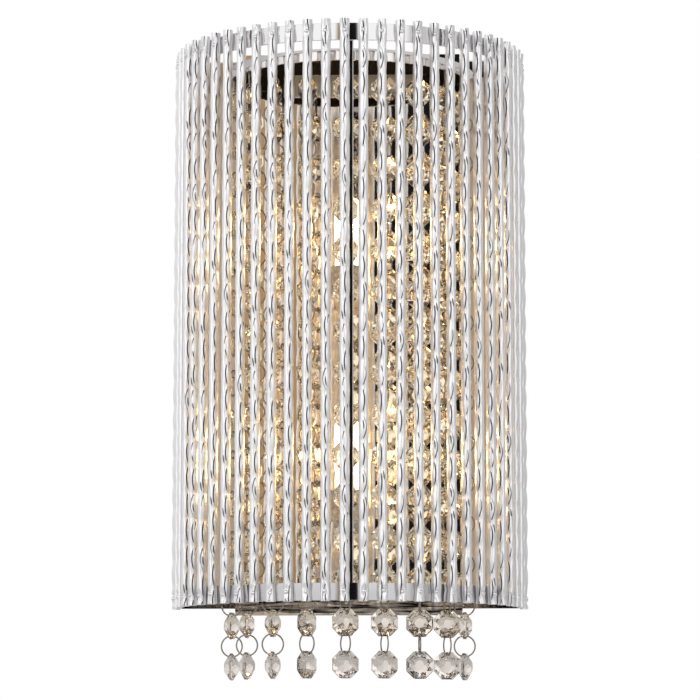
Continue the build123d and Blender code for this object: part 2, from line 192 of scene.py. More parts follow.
class Nodes:
    """The nodes of one finish or of the studio's air."""

    def __init__(self, owner):
        owner.use_nodes = True
        self.tree = owner.node_tree
        self.tree.nodes.clear()

    def node(self, kind, settings=None, values=None, output=0):
        """Adds a node, sets it up, joins or fills its sockets, and gives one of its outputs."""
        made = self.tree.nodes.new(kind)
        for key, setting in (settings or {}).items():
            if key == "stops":
                self.fill_ramp(made.color_ramp, setting)
            else:
                setattr(made, key, setting)
        for key, value in (values or {}).items():
            self.feed(made.inputs[key], value)
        return Value(self, made.outputs[output])

    def feed(self, socket, value):
        if isinstance(value, Value):
            self.tree.links.new(value.socket, socket)
        elif isinstance(value, tuple) and socket.type == "RGBA" and len(value) == 3:
            socket.default_value = (*value, 1.0)
        else:
            socket.default_value = value

    @staticmethod
    def fill_ramp(ramp, stops):
        while len(ramp.elements) > 1:
            ramp.elements.remove(ramp.elements[-1])
        ramp.elements[0].position = stops[0][0]
        ramp.elements[0].color = (*stops[0][1], 1.0)
        for place, colour in stops[1:]:
            ramp.elements.new(place).color = (*colour, 1.0)

    def place(self):
        """Where a point of the piece is, in metres."""
        return self.node("ShaderNodeTexCoord", output="Object")

    def split(self, vector):
        """The three numbers of a vector."""
        return [self.node("ShaderNodeSeparateXYZ", {}, {0: vector}, output=axis) for axis in "XYZ"]

    def height(self):
        """How high a point of the piece is, in metres."""
        return self.split(self.place())[2]

    def below(self, top):
        """From 0 above a height to 1 below it, over a quarter of a millimetre."""
        return (self.height() * -4000 + top * 4000).held()

    def noise(self, size, detail=3.0, stretch=(1, 1, 1), roughness=0.5):
        """Cloudy noise from 0 to 1, with patches about size metres wide."""
        spot = self.node("ShaderNodeMapping", {}, {"Vector": self.place(), "Scale": stretch})
        return self.node(
            "ShaderNodeTexNoise",
            {},
            {"Vector": spot, "Scale": 1 / size, "Detail": detail, "Roughness": roughness},
        )

    def mixed(self, share, first, second):
        """A colour between two."""
        return self.node(
            "ShaderNodeMix",
            {"data_type": "RGBA"},
            {"Factor": share, 6: first, 7: second},
            output=2,
        )

    def bump(self, height, depth, strength):
        sockets = {"Height": height, "Distance": depth, "Strength": strength}
        return self.node("ShaderNodeBump", {}, sockets)


class Finish(Nodes):
    """A material: one surface shader, with its plain numbers set on its own sockets."""

    def __init__(self, name, **sockets):
        self.material = bpy.data.materials.new(name)
        super().__init__(self.material)
        self.surface = self.tree.nodes.new("ShaderNodeBsdfPrincipled")
        self.output = self.tree.nodes.new("ShaderNodeOutputMaterial")
        self.feed(self.output.inputs["Surface"], Value(self, self.surface.outputs[0]))
        self.set(**sockets)

    def set(self, **sockets):
        for name, value in sockets.items():
            self.feed(self.surface.inputs[name.replace("_", " ")], value)


def crimped_aluminium():
    """Bright drawn tube: fine lengthwise drawing lines, soft crumples and duller patches."""
    finish = Finish("crimped_aluminium", Metallic=0.80, IOR=1.5)
    crumple = finish.noise(2.4 * MM, 1.0, (1, 1, 0.35))
    lines = finish.noise(0.5 * MM, 2.0, (1, 1, 0.04))
    patches = finish.noise(9 * MM, 3.0)
    finish.set(
        Base_Color=finish.mixed(patches, (0.97, 0.955, 0.99), (0.985, 0.99, 0.98)),
        Roughness=(patches * 0.08 + 0.25 + lines * 0.04).held(),
        Normal=finish.bump(crumple + lines * 0.08, 0.05 * MM, 0.7),
    )
    return finish.material


def fold_shade():
    """The dark inside of a fold in the tube, as painted shade and painted reflection: near-black
    metal where the bright tube would mirror the dark.
    """
    finish = Finish("fold_shade", Metallic=1.0, IOR=1.5)
    shade_mottle = finish.noise(1.5 * MM, 3.0)
    finish.set(
        # near-black colour: painted shade and painted reflection, mottled at random
        Base_Color=finish.mixed(shade_mottle, (0.03, 0.03, 0.04), (0.10, 0.10, 0.12)),
        Roughness=(shade_mottle * 0.2 + 0.4).held(),
    )
    return finish.material


def sheet_chrome(name, tint, roughness, wave, shade_top=None, highlight_top=None):
    """Polished plated sheet, with a slight waviness and hair scratches.

    Where heights are given, it has dark streaks of painted reflection below the first and a pale rim
    of painted highlight below the second."""
    finish = Finish(name, IOR=1.5)
    waves = finish.noise(22 * MM, 1.0)
    hairs = finish.noise(0.9 * MM, 3.0, (1, 1, 0.06))
    smears = finish.noise(14 * MM, 4.0)
    colour = finish.mixed(smears, tuple(channel * 0.93 for channel in tint), tint)
    metal = 1.0
    if shade_top is not None:
        # painted reflection and painted highlight: the streaks and the pale rim below the given
        # heights
        pale = (1.0, 0.95, 0.89)
        streaks = finish.noise(1.6 * MM, 2.0, (0.06, 1, 1)) * 5.4 - 2.2
        shade = finish.mixed(streaks.held(), (0.018, 0.015, 0.013), pale)
        shaded = finish.below(shade_top)
        colour = finish.mixed(shaded, colour, finish.mixed(finish.below(highlight_top), shade, pale))
        metal = 1 - shaded * 0.3
    finish.set(
        Metallic=metal,
        Base_Color=colour,
        Roughness=(smears * roughness + roughness * 0.5 + hairs * 0.02).held(),
        Normal=finish.bump(waves + hairs * 0.004, wave, 0.6),
    )
    return finish.material


def shelf_underside():
    """The hanger's underside, painted nearly black as painted shade."""
    finish = Finish("shelf_underside", Metallic=0.0, Specular_IOR_Level=0.0)
    smears = finish.noise(12 * MM, 3.0)
    finish.set(
        # painted shade: near-black under the shelf
        Base_Color=finish.mixed(smears, (0.008, 0.007, 0.006), (0.018, 0.016, 0.014)),
        Roughness=(smears * 0.1 + 0.5).held(),
    )
    return finish.material


def shelf_flange():
    """The hanger's flange on the mirror plate: satin steel, its warm tone painted lamplight from the
    bulbs.
    """
    finish = Finish("shelf_flange", Metallic=0.4, IOR=1.5)
    brush = finish.noise(2 * MM, 3.0, (0.1, 1, 1))
    finish.set(
        # warm tan colours: painted lamplight
        Base_Color=finish.mixed(brush, (0.56, 0.52, 0.46), (0.72, 0.68, 0.61)),
        Roughness=(brush * 0.1 + 0.40).held(),
    )
    return finish.material


def zinc_steel():
    """Zinc-plated strap: grey spangle, duller than the chrome."""
    finish = Finish("zinc_steel", Metallic=1.0, IOR=1.5)
    sockets = {"Vector": finish.place(), "Scale": 260.0}
    spangle = finish.node("ShaderNodeTexVoronoi", {"feature": "F1"}, sockets, output="Color")
    shade = finish.node("ShaderNodeSeparateColor", {}, {0: spangle})
    grain = finish.noise(0.6 * MM, 3.0)
    finish.set(
        Base_Color=finish.mixed(shade, (0.50, 0.51, 0.53), (0.68, 0.69, 0.71)),
        Roughness=(shade * 0.18 + 0.28 + grain * 0.08).held(),
        Normal=finish.bump(grain, 0.04 * MM, 0.5),
    )
    return finish.material


def screw_steel():
    """Nickel-plated steel, a little worn."""
    finish = Finish("screw_steel", Metallic=1.0, IOR=1.5)
    wear = finish.noise(1.5 * MM, 4.0)
    finish.set(
        Base_Color=finish.mixed(wear, (0.56, 0.55, 0.54), (0.78, 0.77, 0.76)),
        Roughness=(wear * 0.2 + 0.2).held(),
        Normal=finish.bump(wear, 0.03 * MM, 0.5),
    )
    return finish.material


def link_nickel():
    """Nickel wire, a little tarnished."""
    finish = Finish("link_nickel", Metallic=1.0, IOR=1.5)
    tarnish = finish.noise(3 * MM, 3.0)
    finish.set(
        Base_Color=finish.mixed(tarnish, (0.20, 0.175, 0.15), (0.46, 0.42, 0.38)),
        Roughness=(tarnish * 0.15 + 0.2).held(),
        Normal=finish.bump(finish.noise(0.7 * MM, 2.0), 0.02 * MM, 0.4),
    )
    return finish.material


def rivet_aluminium():
    """Bright soft metal, with the rivet tool's small dimples."""
    finish = Finish("rivet_aluminium", Metallic=1.0, IOR=1.5)
    dimples = finish.noise(0.8 * MM, 2.0)
    finish.set(
        Base_Color=finish.mixed(dimples, (0.84, 0.84, 0.86), (0.96, 0.96, 0.97)),
        Roughness=(dimples * 0.12 + 0.12).held(),
        Normal=finish.bump(dimples, 0.05 * MM, 0.6),
    )
    return finish.material


def moulded_plastic():
    """Natural white plastic of the terminal block."""
    finish = Finish("moulded_plastic", Metallic=0.0, IOR=1.49)
    mould = finish.noise(0.5 * MM, 3.0)
    tone = finish.noise(8 * MM, 2.0)
    finish.set(
        Base_Color=finish.mixed(tone, (0.80, 0.79, 0.75), (0.88, 0.87, 0.84)),
        Roughness=(mould * 0.1 + 0.38).held(),
        Normal=finish.bump(mould, 0.03 * MM, 0.5),
    )
    return finish.material


def glazed_ceramic():
    """Lampholder ceramic: a mottled buff, darkened to brown in patches at random, as painted shade.
    """
    finish = Finish("glazed_ceramic", Metallic=0.0, IOR=1.55)
    specks = finish.noise(0.7 * MM, 4.0)
    tone = finish.noise(2.5 * MM, 4.0, roughness=0.7)
    finish.set(
        # dark brown patches: painted shade
        Base_Color=finish.mixed((tone * 3 - 1.0).held(), (0.34, 0.25, 0.17), (0.86, 0.79, 0.68)),
        Roughness=(specks * 0.16 + 0.22).held(),
        Normal=finish.bump(specks, 0.04 * MM, 0.4),
    )
    return finish.material


def cut_crystal():
    """Cut glass, its golden cast inside the shade painted warm lamplight, paler and rosier on the
    beads that hang out below the shade.
    """
    finish = Finish("cut_crystal", Metallic=0.0, IOR=1.54, Transmission_Weight=1.0)
    cords = finish.noise(4 * MM, 2.0)
    hung_out = (finish.height() * -120 - 18.4).held()  # 0 at 3 mm under the rods' ends, 1 at 12 mm
    # golden: painted warm lamplight on the beads inside the shade; rosy: the paler tint below it
    lamplit_gold = finish.mixed(cords, (0.96, 0.82, 0.61), (1.0, 0.94, 0.80))
    rosy = finish.mixed(cords, (0.76, 0.69, 0.64), (0.86, 0.80, 0.74))
    finish.set(
        Base_Color=finish.mixed(hung_out, lamplit_gold, rosy),
        Roughness=(cords * 0.05 + 0.025).held(),
    )
    return finish.material


def bulb_glass():
    """Clear glass filled with the glow of its filament, which fades towards its ends."""
    finish = Finish(
        "bulb_glass", Metallic=0.0, IOR=1.46, Roughness=0.0, Transmission_Weight=1.0,
        Emission_Strength=1.15,
    )
    streaks = finish.noise(5 * MM, 2.0, (1, 1, 0.3))
    glass_length = BULB_LENGTH - BASE_HEIGHT
    middles = [seat + BASE_HEIGHT + glass_length / 2 for seat in BULB_BASES.values()]
    upper, lower = [abs(finish.height() - middle) for middle in middles]
    fade = (upper.at_most(lower) * (2.2 / glass_length) - 0.2).held()
    glow = finish.mixed(streaks, (1.0, 0.76, 0.44), (1.0, 0.86, 0.60))
    finish.set(
        Base_Color=finish.mixed(streaks, (0.97, 0.96, 0.94), (1.0, 1.0, 1.0)),
        Emission_Color=finish.mixed(fade, glow, (0.30, 0.19, 0.09)),
    )
    return finish.material


def glowing_filament():
    """Coiled tungsten at full heat, hotter in some turns than in others."""
    finish = Finish("glowing_filament", Metallic=0.0, Roughness=0.6, Emission_Strength=6.0)
    heat = finish.noise(3 * MM, 1.0)
    finish.set(
        Base_Color=(0.9, 0.8, 0.6),
        Emission_Color=finish.mixed(heat, (1.0, 0.62, 0.27), (1.0, 0.78, 0.45)),
    )
    return finish.material


# ---------------------------------------------------------------- ways of making
def alone(piece):
    """Makes one object the only one that is selected."""
    bpy.ops.object.select_all(action="DESELECT")
    piece.select_set(True)
    bpy.context.view_layer.objects.active = piece


def begin(primitive, name, **size):
    """A named primitive, as the start of a piece."""
    bpy.ops.object.select_all(action="DESELECT")
    getattr(bpy.ops.mesh, f"primitive_{primitive}_add")(**size)
    piece = bpy.context.object
    piece.name = name
    piece.data.name = name
    return piece


class Editing:
    """Edit mode on one piece, with ways to select by place and to paint what is selected."""

    def __init__(self, piece, mode="VERT"):
        self.piece = piece
        self.mode = mode

    def __enter__(self):
        alone(self.piece)
        bpy.ops.object.mode_set(mode="EDIT")
        bpy.ops.mesh.select_mode(type=self.mode)
        return self

    def __exit__(self, *_):
        bpy.ops.object.mode_set(mode="OBJECT")

    def pick(self, wanted, mode=None):
        """Selects the vertices, or the faces by their centre and normal, that a test accepts."""
        mode = mode or self.mode
        bpy.ops.mesh.select_mode(type=mode)
        bpy.ops.mesh.select_all(action="DESELECT")
        shape = bmesh.from_edit_mesh(self.piece.data)
        if mode == "FACE":
            found = [face for face in shape.faces if wanted(face.calc_center_median(), face.normal)]
        else:
            found = [vertex for vertex in shape.verts if wanted(vertex.co)]
        for item in found:
            item.select_set(True)
        shape.select_flush_mode()
        bmesh.update_edit_mesh(self.piece.data)

    def paint(self, place):
        """Gives the selected faces the piece's material at a place in its list."""
        self.piece.active_material_index = place
        bpy.ops.object.material_slot_assign()


def push(move):
    """Extrudes the selection."""
    bpy.ops.mesh.extrude_region_move(TRANSFORM_OT_translate={"value": move})


def squeeze(scale, centre=(0, 0, 0)):
    """Scales the selection about a point."""
    bpy.ops.transform.resize(value=scale, center_override=centre)


def turn(angle, axis):
    """Turns the selection by degrees; with no window the operator turns the other way."""
    bpy.ops.transform.rotate(value=-radians(angle), orient_axis=axis, center_override=(0, 0, 0))


def modify(piece, kind, **settings):
    """Adds a modifier and applies it."""
    alone(piece)
    modifier = piece.modifiers.new(kind, kind)
    for key, setting in settings.items():
        setattr(modifier, key, setting)
    bpy.ops.object.modifier_apply(modifier=modifier.name)


def ease(piece, width, angle):
    """Rounds off the edges that are sharper than an angle in degrees."""
    modify(
        piece, "BEVEL", width=width, segments=2, limit_method="ANGLE", angle_limit=radians(angle)
    )


def settle(piece):
    """Puts the piece's place, turn and scale into its mesh."""
    alone(piece)
    bpy.ops.object.transform_apply(location=True, rotation=True, scale=True)


def cut(z, side):
    """Cuts everything off above a height (side 1) or below it (side -1), and closes the cut."""
    bpy.ops.mesh.select_all(action="SELECT")
    bpy.ops.mesh.bisect(plane_co=(0, 0, z), plane_no=(0, 0, side), clear_outer=True, use_fill=True)


def copied(piece, name, place=None):
    """A copy with its own mesh, moved by a matrix."""
    copy = piece.copy()
    copy.data = piece.data.copy()
    copy.name = name
    copy.data.name = name
    bpy.context.scene.collection.objects.link(copy)
    if place is not None:
        copy.data.transform(place)
    return copy


def joined(pieces, name):
    """Several pieces made one."""
    alone(pieces[0])
    for piece in pieces:
        piece.select_set(True)
    bpy.ops.object.join()
    whole = bpy.context.object
    whole.name = name
    whole.data.name = name
    return whole


def discard(*pieces):
    for piece in pieces:
        bpy.data.objects.remove(piece, do_unlink=True)


def smooth(piece, angle=180):
    """Shades smoothly across the edges that are blunter than an angle in degrees."""
    alone(piece)
    if angle == 180:
        bpy.ops.object.shade_smooth()
    else:
        bpy.ops.object.shade_smooth_by_angle(angle=radians(angle))


def dress(piece, material):
    piece.data.materials.clear()
    piece.data.materials.append(material)


def mount(piece, body, node):
    """Rides the piece on its body, in place of the node that it stands for."""
    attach(piece, body)
    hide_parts(node)


def on_arc(radius, axis_y, angle):
    """A place on an arc round an upright axis, at degrees from its front; +Y there points in."""
    spot = Vector((radius * sin(radians(angle)), axis_y - radius * cos(radians(angle)), 0))
    return Matrix.Translation(spot) @ Matrix.Rotation(radians(angle), 4, "Z")


# ---------------------------------------------------------------- rods
def rod_angle(index):
    return -90 + index * 180 / (ROD_COUNT - 1)


def band_levels():
    """The heights of the two bands' middles."""
    boxes = [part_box(band) for band in ("top_band", "bottom_band")]
    return [(low.z + high.z) / 2 for low, high in boxes]


def fold_widths(low, high, fades):
    """The share of its width that a fold keeps at each ring where it narrows."""
    if not fades:
        return list(zip((low, low + 1, high, high - 1), FOLD_TAPER * 2))
    start, end = FOLD_FADE
    rings = range(low, high + 1)
    return [(ring, start + (end - start) * (ring - low) / (high - low)) for ring in rings]


def press_fold(edit, low, high, columns, fades):
    """Presses one fold into a straight pitch of tube, from one ring to another."""
    column = 2 * ROD_RADIUS * sin(pi / ROD_SIDES)
    middle = ROD_RADIUS * sin((columns + 0.5) * 2 * pi / ROD_SIDES)

    def near(spot, reach):
        return spot.y < 0 and abs(spot.x - middle) < reach

    def in_fold(spot, _):
        return low * PINCH_STEP < spot.z < high * PINCH_STEP and near(spot, column / 3)

    edit.pick(in_fold, "FACE")
    # the fold's faces get the near-black finish of painted shade
    edit.paint(1)
    for ring, share in fold_widths(low, high, fades):
        height = ring * PINCH_STEP
        edit.pick(lambda spot: abs(spot.z - height) < PINCH_STEP / 3 and near(spot, column * 0.6))
        squeeze((share, 1, 1), (middle, 0, 0))
    edit.pick(in_fold, "FACE")
    bpy.ops.mesh.inset(thickness=FOLD_RIM, depth=-FOLD_DEPTH)


def one_pitch(bow, folds, body, fold):
    """A pitch of tube with its folds, pinched at both ends and bowed round in between."""
    tube = begin(
        "cylinder", "pinched_tube", vertices=ROD_SIDES, radius=ROD_RADIUS, depth=PINCH_STEP,
        end_fill_type="NOTHING", location=(0, 0, PINCH_STEP / 2),
    )
    settle(tube)
    for material in (body, fold):
        tube.data.materials.append(material)
    with Editing(tube) as edit:
        for ring in range(1, PINCH_STEPS):
            edit.pick(lambda spot: spot.z > ring * PINCH_STEP - PINCH_STEP / 4)
            push((0, 0, PINCH_STEP))
        for place in folds:
            press_fold(edit, *place)
        for ring in range(PINCH_STEPS + 1):
            height = ring * PINCH_STEP
            rise = sin(pi * ring / PINCH_STEPS)
            edit.pick(lambda spot: abs(spot.z - height) < PINCH_STEP / 3)
            turn(bow * rise, "Z")
            squeeze((1, 1 - PINCH_DEPTH * (1 - rise) / ROD_RADIUS, 1), (0, 0, height))
    return tube


def long_tube(pitches):
    """Bold and faint pitches in turn, of kinds drawn by chance, a few more than a rod takes."""
    _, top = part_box("rod_02")
    count = round(2 * top.z / PINCH_PITCH) + 3
    row = []
    for step in range(count):
        place = Matrix.Translation((0, 0, (step - count / 2) * PINCH_PITCH))
        faint = step % 2 if rng.random() > BOLD_SHARE else 0
        row.append(copied(rng.choice(pitches[faint::2]), "pitch", place))
    tube = joined(row, "long_tube")
    with Editing(tube):
        bpy.ops.mesh.select_all(action="SELECT")
        bpy.ops.mesh.remove_doubles(threshold=0.01 * MM)
    return tube


def rod(index, tube, crumple):
    """One rod: cut to length at its own place in the pitches, flattened on the bands, ends sunk."""
    node = f"rod_{min(max(index, 1), ROD_COUNT - 2):02d}"  # two rods share the node at each end
    low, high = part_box(node)
    angle = rod_angle(index)
    side = 1 if angle > 0 else -1
    lean = side * rng.uniform(*ROD_LEAN)
    lean = lean - angle if abs(angle) < SIDE_ROD_ANGLE else lean + side * SIDE_ROD_LEAN
    facing = Matrix.Rotation(radians(lean), 4, "Z")
    if side < 0:
        facing = facing @ Matrix.Rotation(pi, 4, "Y")
    shift = Matrix.Translation((0, 0, rng.uniform(-0.5, 0.5) * PINCH_PITCH))
    piece = copied(tube, f"rod_{index + 1:02d}_tube", facing @ shift)
    with Editing(piece) as edit:
        for z, end in ((low.z + CRUMPLE, -1), (high.z - CRUMPLE, 1)):
            cut(z, end)
            bpy.ops.mesh.normals_make_consistent(inside=False)
            edit.pick(
                lambda spot, normal: abs(spot.z - z) < CUT_REACH and abs(normal.z) > 0.7, "FACE"
            )
            edit.paint(0)
            edit.pick(
                lambda spot, normal: abs(spot.z - z) < CUT_REACH and normal.z * end > 0.9, "FACE"
            )
            bpy.ops.mesh.inset(thickness=TUBE_WALL)
            push((0, 0, -end * TUBE_SUNK))
        for level in band_levels():
            for face, reach in ((1, BAND_HALF), (-1, RIVET_FLAT)):
                edit.pick(
                    lambda spot: abs(spot.z - level) < reach and spot.y * face > ROD_WAIST / 2
                )
                squeeze((1, 0, 1), (0, face * ROD_WAIST / 2, 0))
    piece.data.transform(on_arc(SHADE_RADIUS, SHADE_AXIS_Y, angle))
    modify(piece, "DISPLACE", texture=crumple, strength=CRUMPLE, mid_level=0.5)
    smooth(piece, 50)
    mount(piece, "frame", node)


def rods(body, fold):
    crumple = bpy.data.textures.new("crumple", "CLOUDS")
    crumple.noise_scale = CRUMPLE_SIZE
    pitches = [one_pitch(bow, folds, body, fold) for bow, folds in FOLDS]
    tubes = [long_tube(pitches) for _ in range(LONG_TUBES)]
    for index in range(ROD_COUNT):
        rod(index, tubes[index % LONG_TUBES], crumple)
    discard(*pitches, *tubes)


def rivets(material):
    """A domed head on every rod at each band, standing on a thin flattened rim."""
    head = begin("uv_sphere", "rivet_head", segments=16, ring_count=10, radius=RIVET_RADIUS)
    with Editing(head) as edit:
        cut(0, -1)
        bpy.ops.mesh.select_all(action="SELECT")
        squeeze((1, 1, RIVET_RISE / RIVET_RADIUS))
        edit.pick(lambda spot, normal: normal.z < -0.9, "FACE")
        bpy.ops.mesh.inset(thickness=RIVET_RIM)
        push((0, 0, -RIVET_SUNK))
        bpy.ops.mesh.select_all(action="SELECT")
        turn(90, "X")
    across, along = RIVET_DRIFT
    heads = []
    for index in range(ROD_COUNT):
        place = on_arc(SHADE_RADIUS + ROD_WAIST / 2, SHADE_AXIS_Y, rod_angle(index))
        for level in band_levels():
            offset = (rng.uniform(-across, across), 0, level + rng.uniform(-along, along))
            heads.append(copied(head, "rivet_head_copy", place @ Matrix.Translation(offset)))
    discard(head)
    whole = joined(heads, "rivet_heads")
    smooth(whole, 40)
    dress(whole, material)
    mount(whole, "frame", "rod_rivets")


# ---------------------------------------------------------------- strands
def cut_octagon():
    """An octagon bead: a small flat each side, a star of facets, a thin edge and two holes."""
    corner = CRYSTAL_WIDTH / 2 / cos(radians(HALF_SIDE))
    bead = begin("cylinder", "cut_octagon", vertices=8, radius=corner, depth=CRYSTAL_EDGE)
    rise = (CRYSTAL_THICKNESS - CRYSTAL_EDGE) / 2
    table = CRYSTAL_TABLE / 2 / corner
    with Editing(bead, "FACE") as edit:
        bpy.ops.mesh.select_all(action="SELECT")
        turn(HALF_SIDE, "Z")
        for side in (1, -1):
            edit.pick(lambda spot, normal: normal.z * side > 0.9)
            push((0, 0, side * rise))
            squeeze((table, table, 1))
            turn(HALF_SIDE, "Z")
        edit.pick(lambda spot, normal: abs(normal.z) < 0.97)
        bpy.ops.mesh.quads_convert_to_tris(quad_method="BEAUTY")
        bpy.ops.mesh.select_all(action="SELECT")
        turn(90, "X")
    for side in (1, -1):
        drill = begin(
            "cylinder", "drill", vertices=8, radius=CRYSTAL_HOLE / 2, depth=2 * CRYSTAL_THICKNESS,
            location=(0, 0, side * HOLE_SPACING / 2), rotation=(pi / 2, 0, 0),
        )
        modify(bead, "BOOLEAN", operation="DIFFERENCE", object=drill, solver="EXACT")
        discard(drill)
    return bead


def strand(index, bead, ring, hook, crystal, nickel):
    """One strand: its crystals on one piece and its hook and rings on another."""
    number = index + 1
    angle = (index - (STRAND_COUNT - 1) / 2) * STRAND_STEP
    spot = on_arc(STRAND_RADIUS, STRAND_AXIS_Y, angle).translation

    def hung(piece, name, z, wobble=0.0):
        turned = Matrix.Rotation(radians(STRAND_TURN[index] + wobble), 4, "Z")
        return copied(piece, name, Matrix.Translation((spot.x, spot.y, z)) @ turned)

    def chance(reach):
        return rng.uniform(-reach, reach)

    levels = [FIRST_CRYSTAL_Z - step * CRYSTAL_PITCH for step in range(CRYSTALS_PER_STRAND)]
    beads = [hung(bead, "bead", z, chance(CRYSTAL_WOBBLE)) for z in levels]
    links = [hung(ring, "link", z - CRYSTAL_PITCH / 2, chance(RING_WOBBLE)) for z in levels[:-1]]
    links.append(hung(hook, "link", 0))
    whole = joined(beads, f"strand_{number}_octagons")
    dress(whole, crystal)
    whole.visible_shadow = False
    mount(whole, f"strand_{number}", f"crystals_{number}")
    wires = joined(links, f"strand_{number}_rings")
    smooth(wires, 60)
    dress(wires, nickel)
    mount(wires, f"strand_{number}", f"strand_links_{number}")


def wire_ring():
    """A closed ring of round wire, with the slight flat where its ends meet."""
    ring = begin(
        "torus", "wire_ring", major_segments=28, minor_segments=8,
        major_radius=(RING_WIDTH - WIRE) / 2, minor_radius=WIRE / 2,
    )
    with Editing(ring) as edit:
        edit.pick(lambda spot: spot.x > RING_WIDTH / 2 - 1.3 * WIRE and abs(spot.y) < WIRE)
        squeeze((1, 1, 0.8))
        bpy.ops.mesh.select_all(action="SELECT")
        turn(90, "Y")
    return ring


def strand_hook():
    """The wire that hooks the first crystal to the hanger, with its flat head on top."""
    first_hole = FIRST_CRYSTAL_Z + HOLE_SPACING / 2
    stem_low = first_hole + HOOK_STEM_RISE
    stem_high = HANGER_TOP + HOOK_SEAT_GAP
    stem = begin(
        "cylinder", "hook_stem", vertices=8, radius=WIRE / 2, depth=stem_high - stem_low,
        location=(0, 0, (stem_high + stem_low) / 2),
    )
    settle(stem)
    with Editing(stem, "FACE") as edit:
        edit.pick(lambda spot, normal: normal.z > 0.9)
        squeeze((HOOK_HEAD, HOOK_HEAD, 1))
        push((0, 0, HOOK_HEAD_HEIGHT))
    eye = begin(
        "torus", "hook_eye", major_segments=16, minor_segments=8, major_radius=HOOK_EYE,
        minor_radius=WIRE / 2, location=(0, 0, first_hole + HOOK_EYE_RISE), rotation=(0, pi / 2, 0),
    )
    settle(eye)
    return joined([stem, eye], "strand_hook")


def strands(crystal, nickel):
    models = (cut_octagon(), wire_ring(), strand_hook())
    for index in range(STRAND_COUNT):
        strand(index, *models, crystal, nickel)
    discard(*models)


# ---------------------------------------------------------------- bulbs
def bulb_shell(name, seat):
    """The capsule's glass: a tube drawn in to a nipple on top and pinched flat over the pins."""
    shell = begin(
        "cylinder", f"{name}_glass", vertices=24, radius=BULB_RADIUS,
        depth=BULB_LENGTH - BASE_HEIGHT - BULB_SHOULDER, end_fill_type="NGON",
        location=(0, 0, (BULB_LENGTH - BULB_SHOULDER + BASE_HEIGHT) / 2),
    )
    settle(shell)
    with Editing(shell, "FACE") as edit:
        edit.pick(lambda spot, normal: normal.z > 0.9)
        for rise, share in BULB_NIPPLE:
            push((0, 0, rise * MM))
            squeeze((share, share, 1))
        edit.pick(lambda spot, normal: normal.z < -0.9)
        push((0, 0, -BULB_NECK))
        squeeze((0.9, 0.55, 1))
        push((0, 0, BULB_NECK - BASE_HEIGHT))
        squeeze((0.95, 0.8, 1))
    shell.data.transform(Matrix.Translation((0, BULB_Y, seat)))
    ease(shell, 0.4 * MM, 50)
    smooth(shell, 40)
    return shell


def filament(name, seat):
    """A coiled filament, wound round and round up the middle of the glass."""
    wire = begin(
        "circle", f"{name}_filament", vertices=8, radius=COIL_WIRE, rotation=(pi / 2, 0, 0)
    )
    settle(wire)
    wire.data.transform(Matrix.Translation((COIL_RADIUS, 0, 0)))
    steps = 10 * COIL_TURNS
    modify(
        wire, "SCREW", angle=2 * pi * COIL_TURNS, steps=steps, render_steps=steps,
        screw_offset=COIL_LENGTH, axis="Z", use_merge_vertices=True,
    )
    wire.data.transform(Matrix.Translation((0, BULB_Y, seat + BASE_HEIGHT + COIL_RISE)))
    smooth(wire)
    return wire


def bulb_pins(name, seat):
    """Two pins under the pinched base, with eased ends."""
    pins = []
    for side in (-1, 1):
        pin = begin(
            "cylinder", "pin", vertices=12, radius=PIN_RADIUS, depth=PIN_LENGTH,
            location=(side * PIN_SPACING / 2, 0, -PIN_LENGTH / 2),
        )
        settle(pin)
        ease(pin, 0.35 * MM, 50)
        pins.append(pin)
    whole = joined(pins, f"{name}_pins")
    whole.data.transform(Matrix.Translation((0, BULB_Y, seat)))
    smooth(whole, 40)
    return whole


def bulbs(glass, glow, steel):
    for name, seat in BULB_BASES.items():
        shell = bulb_shell(name, seat)
        shell.visible_shadow = False
        coil = filament(name, seat)
        pins = bulb_pins(name, seat)
        for piece, material, slot in (
            (shell, glass, "bulb_glass"), (coil, glow, "bulb_glass"), (pins, steel, "screw_steel")
        ):
            dress(piece, material)
            mount(piece, name, name)
        warm_lamp(name, seat)


def warm_lamp(name, seat):
    """The light that the filament gives, as a small lamp inside the glass."""
    lamp = bpy.data.lights.new(f"{name}_light", "POINT")
    lamp.color = (1.0, 0.70, 0.38)
    lamp.energy = 0.085
    lamp.shadow_soft_size = 5 * MM
    light = bpy.data.objects.new(f"{name}_light", lamp)
    light.location = (0, BULB_Y, seat + LAMP_RISE)
    bpy.context.scene.collection.objects.link(light)
    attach(light, name)


# ---------------------------------------------------------------- sheet metal, ceramic and plastic
def softened(node, name, width, material):
    """A copy of a node whose corners are eased, so that its edges catch the light."""
    piece = copied(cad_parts[node], name)
    for key in list(piece.keys()):
        del piece[key]
    piece.parent = None
    piece.hide_render = False
    piece.hide_viewport = False
    with Editing(piece):
        bpy.ops.mesh.select_all(action="SELECT")
        bpy.ops.mesh.remove_doubles(threshold=0.005 * MM)
        bpy.ops.mesh.dissolve_limited(angle_limit=radians(2))
    ease(piece, width, 35)
    smooth(piece, 35)
    modify(piece, "WEIGHTED_NORMAL", weight=100, keep_sharp=True)
    dress(piece, material)
    mount(piece, "frame", node)
    return piece


def paint_hanger(hanger):
    """Gives the hanger its underside of painted shade and the satin flange, warm with painted
    lamplight, that holds it to the plate.
    """
    for material in (shelf_underside(), shelf_flange()):
        hanger.data.materials.append(material)
    lowest = HANGER_TOP - 3 * MM
    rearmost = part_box("mirror_plate")[0].y - 3 * MM
    with Editing(hanger, "FACE") as edit:
        edit.pick(lambda spot, normal: normal.z < -0.9 and spot.z > lowest)
        # the underside's near-black is painted shade
        edit.paint(1)
        edit.pick(lambda spot, normal: normal.y < -0.9 and spot.y > rearmost)
        edit.paint(2)


